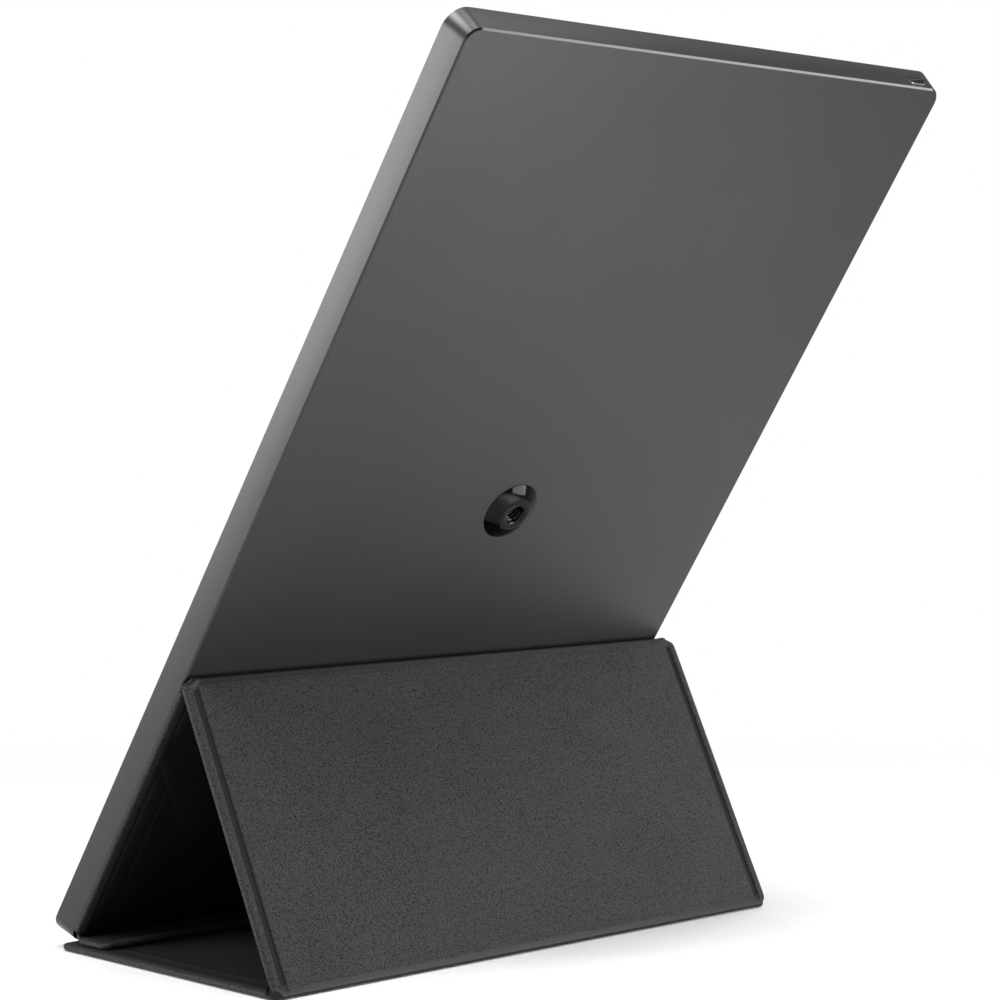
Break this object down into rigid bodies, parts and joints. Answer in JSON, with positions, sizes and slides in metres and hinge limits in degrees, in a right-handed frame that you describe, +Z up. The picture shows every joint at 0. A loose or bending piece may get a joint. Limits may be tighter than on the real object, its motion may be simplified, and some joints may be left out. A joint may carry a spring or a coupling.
{
  "type": "portable monitor with cover",
  "caption": "Slim portable monitor leaning in portrait on its own fold-out cover, which folds into a triangular prop and lies along the monitor's back; screw socket for a camera stand",
  "frame": {"origin": "centre of the cover's floor panel, on the surface that the object stands on", "axes": "+Z up; the screen faces -Y and leans back; the cover's folds run along X, with +X on the left in the picture"},
  "size_m": [0.2328, 0.2112, 0.3013],
  "materials": {
    "shell_metal": "fine anodised satin, dark grey",
    "bezel_plastic": "fine moulded grain, black",
    "screen_glass": "matte polariser film over the cell",
    "white_film": "diffuse white film",
    "clear_acrylic": "polished clear sheet",
    "led_resin": "pale yellow resin on a white strip",
    "zinc_steel": "zinc-plated sheet steel",
    "circuit_board": "green solder mask",
    "socket_steel": "nickel-plated drawn steel",
    "contact_plastic": "black glass-filled plastic",
    "flex_film": "amber film over copper",
    "gloss_black_steel": "gloss black plating",
    "black_steel": "black oxide",
    "magnet_nickel": "nickel-plated magnet",
    "key_plastic": "satin moulded plastic",
    "cover_leather": "pebbled synthetic leather, near black",
    "grey_board": "pressed fibre board",
    "cover_lining": "fine microfibre, near black"
  },
  "bodies": {
    "monitor": {"rear_cover": "shell_metal", "front_bezel": "bezel_plastic", "lcd_cell": "screen_glass", "diffuser_sheets": "white_film", "light_guide": "clear_acrylic", "reflector_sheet": "white_film", "led_strip": "led_resin", "panel_tray": "zinc_steel", "timing_board": "circuit_board", "main_board": "circuit_board", "shield_can": "zinc_steel", "usb_c_sleeve": "socket_steel", "usb_c_tongue": "contact_plastic", "display_flex": "flex_film", "button_board": "circuit_board", "tact_switches": "contact_plastic", "rocker_pin": "zinc_steel", "tripod_insert": "gloss_black_steel", "tripod_bracket": "zinc_steel", "tripod_screws": "black_steel", "board_screws": "black_steel", "monitor_magnets": "magnet_nickel", "inner_skin": "cover_leather", "inner_board": "grey_board", "inner_lining": "cover_lining", "inner_magnets": "magnet_nickel", "ridge_crease": "cover_leather", "front_crease": "cover_leather"},
    "power_key": {"power_button": "key_plastic"},
    "menu_key": {"menu_button": "key_plastic"},
    "rocker": {"rocker_key": "key_plastic"},
    "rear_panel": {"rear_skin": "cover_leather", "rear_board": "grey_board", "rear_lining": "cover_lining", "heel_crease": "cover_leather"},
    "floor_panel": {"floor_skin": "cover_leather", "floor_board": "grey_board", "floor_lining": "cover_lining", "floor_magnets": "magnet_nickel"},
    "tab": {"tab_skin": "cover_leather", "tab_board": "grey_board", "tab_lining": "cover_lining", "tab_magnets": "magnet_nickel"}
  },
  "joints": [
    {"name": "ridge_fold", "type": "hinge", "parent": "monitor", "child": "rear_panel", "pos_m": [0, 0.01012, 0.09589], "axis": [1, 0, 0], "range_deg": [0, 115.4]},
    {"name": "heel_fold", "type": "hinge", "parent": "rear_panel", "child": "floor_panel", "pos_m": [0, 0.05765, 0.00115], "axis": [1, 0, 0], "range_deg": [0, 116]},
    {"name": "tab_fold", "type": "hinge", "parent": "monitor", "child": "tab", "pos_m": [0, -0.0517, 0.0049], "axis": [1, 0, 0], "range_deg": [0, 50]},
    {"name": "power_press", "type": "slide", "parent": "monitor", "child": "power_key", "axis": [0, 0.5706, 0.8213], "range_m": [0, 0.00035], "stiffness_N_per_m": 1200},
    {"name": "menu_press", "type": "slide", "parent": "monitor", "child": "menu_key", "axis": [0, 0.5706, 0.8213], "range_m": [0, 0.00035], "stiffness_N_per_m": 1200},
    {"name": "rocker_tilt", "type": "hinge", "parent": "monitor", "child": "rocker", "pos_m": [-0.0432, -0.05805, 0.00837], "axis": [0, -0.8213, 0.5706], "range_deg": [-1.5, 1.5], "stiffness_Nm_per_rad": 0.05}
  ]
}
